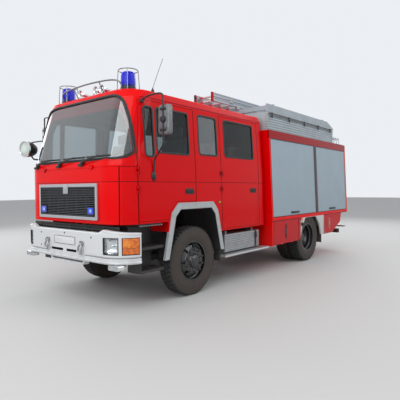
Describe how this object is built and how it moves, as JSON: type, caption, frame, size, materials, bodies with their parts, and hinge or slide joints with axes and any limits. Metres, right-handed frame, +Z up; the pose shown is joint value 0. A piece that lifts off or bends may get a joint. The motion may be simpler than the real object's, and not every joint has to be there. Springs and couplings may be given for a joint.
{
  "type": "fire engine",
  "caption": "Two-axle fire engine with a four-door crew cab, a box body with side roller shutters and low lockers, and a ladder on its railed roof.",
  "frame": {"origin": "on the ground under the middle of the vehicle's length and width", "axes": "+Z up, -Y towards the front, +X towards the vehicle's left side"},
  "size_m": [3.01, 7.348, 3.3],
  "materials": {
    "fire_red": "gloss paint",
    "white_paint": "gloss paint",
    "silver_trim": "satin paint",
    "bright_metal": "polished",
    "aluminium": "mill finish, ribbed",
    "shutter_slats": "anodised",
    "chassis_black": "satin paint",
    "wheel_black": "satin paint",
    "black_plastic": "moulded",
    "tyre_rubber": "moulded rubber",
    "window_glass": "clear",
    "lamp_lens": "ribbed lens",
    "seat_fabric": "woven",
    "dash_plastic": "grained",
    "engine_iron": "painted casting"
  },
  "bodies": {
    "chassis": {"axles": "chassis_black", "chassis_frame": "chassis_black", "engine": "engine_iron", "cab_shell": "fire_red", "cab_glass": "window_glass", "arch_trims": "silver_trim", "seats": "seat_fabric", "dashboard": "dash_plastic", "bumper": "white_paint", "lamps": "lamp_lens", "mudguards_and_steps": "black_plastic", "side_boxes": "aluminium", "body_shell": "fire_red", "shutters": "shutter_slats", "roof_gallery": "aluminium", "ladder": "aluminium", "cab_fittings": "black_plastic"},
    "front_wheel_left": {"front_wheel_left": "wheel_black", "front_tyre_left": "tyre_rubber"},
    "rear_wheels_left": {"rear_wheels_left": "wheel_black", "rear_tyres_left": "tyre_rubber"},
    "knuckle_left": {"knuckle_left": "chassis_black"},
    "front_door_left": {"front_door_left": "fire_red", "front_door_glass_left": "window_glass", "mirror_left": "black_plastic"},
    "crew_door_left": {"crew_door_left": "fire_red", "crew_door_glass_left": "window_glass"},
    "front_locker_flap_left": {"front_locker_flap_left": "fire_red"},
    "rear_locker_flap_left": {"rear_locker_flap_left": "fire_red"},
    "front_wheel_right": {"front_wheel_right": "wheel_black", "front_tyre_right": "tyre_rubber"},
    "rear_wheels_right": {"rear_wheels_right": "wheel_black", "rear_tyres_right": "tyre_rubber"},
    "knuckle_right": {"knuckle_right": "chassis_black"},
    "front_door_right": {"front_door_right": "fire_red", "front_door_glass_right": "window_glass", "mirror_right": "black_plastic"},
    "crew_door_right": {"crew_door_right": "fire_red", "crew_door_glass_right": "window_glass"},
    "front_locker_flap_right": {"front_locker_flap_right": "fire_red"},
    "rear_locker_flap_right": {"rear_locker_flap_right": "fire_red"},
    "tie_rod": {"tie_rod": "chassis_black"},
    "front_flap": {"front_flap": "fire_red", "grille": "bright_metal"},
    "steering_wheel": {"steering_wheel": "dash_plastic"}
  },
  "joints": [
    {"name": "steer_left", "type": "hinge", "parent": "chassis", "child": "knuckle_left", "pos_m": [0.79, -2.225, 0.507], "axis": [0, 0, 1], "range_deg": [-38, 38]},
    {"name": "front_wheel_spin_left", "type": "hinge", "parent": "knuckle_left", "child": "front_wheel_left", "pos_m": [0.963, -2.225, 0.507], "axis": [1, 0, 0], "continuous": true},
    {"name": "rear_wheel_spin_left", "type": "hinge", "parent": "chassis", "child": "rear_wheels_left", "pos_m": [0.919, 1.475, 0.507], "axis": [1, 0, 0], "continuous": true},
    {"name": "front_door_hinge_left", "type": "hinge", "parent": "chassis", "child": "front_door_left", "pos_m": [1.134, -3.331, 1.9], "axis": [0, 0, -1], "range_deg": [0, 70]},
    {"name": "crew_door_hinge_left", "type": "hinge", "parent": "chassis", "child": "crew_door_left", "pos_m": [1.141, -1.581, 1.9], "axis": [0, 0, -1], "range_deg": [0, 80]},
    {"name": "front_locker_hinge_left", "type": "hinge", "parent": "chassis", "child": "front_locker_flap_left", "pos_m": [1.25, 0.3675, 0.507], "axis": [0, 1, 0], "range_deg": [0, 90]},
    {"name": "rear_locker_hinge_left", "type": "hinge", "parent": "chassis", "child": "rear_locker_flap_left", "pos_m": [1.25, 2.4515, 0.535], "axis": [0, 1, 0], "range_deg": [0, 90]},
    {"name": "steer_right", "type": "hinge", "parent": "chassis", "child": "knuckle_right", "pos_m": [-0.79, -2.225, 0.507], "axis": [0, 0, 1], "range_deg": [-38, 38]},
    {"name": "front_wheel_spin_right", "type": "hinge", "parent": "knuckle_right", "child": "front_wheel_right", "pos_m": [-0.963, -2.225, 0.507], "axis": [1, 0, 0], "continuous": true},
    {"name": "rear_wheel_spin_right", "type": "hinge", "parent": "chassis", "child": "rear_wheels_right", "pos_m": [-0.919, 1.475, 0.507], "axis": [1, 0, 0], "continuous": true},
    {"name": "front_door_hinge_right", "type": "hinge", "parent": "chassis", "child": "front_door_right", "pos_m": [-1.134, -3.331, 1.9], "axis": [0, 0, 1], "range_deg": [0, 70]},
    {"name": "crew_door_hinge_right", "type": "hinge", "parent": "chassis", "child": "crew_door_right", "pos_m": [-1.141, -1.581, 1.9], "axis": [0, 0, 1], "range_deg": [0, 80]},
    {"name": "front_locker_hinge_right", "type": "hinge", "parent": "chassis", "child": "front_locker_flap_right", "pos_m": [-1.25, 0.3675, 0.507], "axis": [0, -1, 0], "range_deg": [0, 90]},
    {"name": "rear_locker_hinge_right", "type": "hinge", "parent": "chassis", "child": "rear_locker_flap_right", "pos_m": [-1.25, 2.4515, 0.535], "axis": [0, -1, 0], "range_deg": [0, 90]},
    {"name": "tie_rod_pivot", "type": "hinge", "parent": "knuckle_left", "child": "tie_rod", "pos_m": [0.79, -2.025, 0.39], "axis": [0, 0, 1], "range_deg": [-38, 38]},
    {"name": "front_flap_hinge", "type": "hinge", "parent": "chassis", "child": "front_flap", "pos_m": [0, -3.639, 1.848], "axis": [-1, 0, 0], "range_deg": [0, 80]},
    {"name": "steering_column", "type": "hinge", "parent": "chassis", "child": "steering_wheel", "pos_m": [0.62, -3.075, 1.88], "axis": [0, 0.5708, 0.8211], "range_deg": [-608, 608]}
  ],
  "couplings": [
    {"joint": "steer_right", "follows": "steer_left", "ratio": 1},
    {"joint": "tie_rod_pivot", "follows": "steer_left", "ratio": -1},
    {"joint": "steering_column", "follows": "steer_left", "ratio": 16}
  ]
}
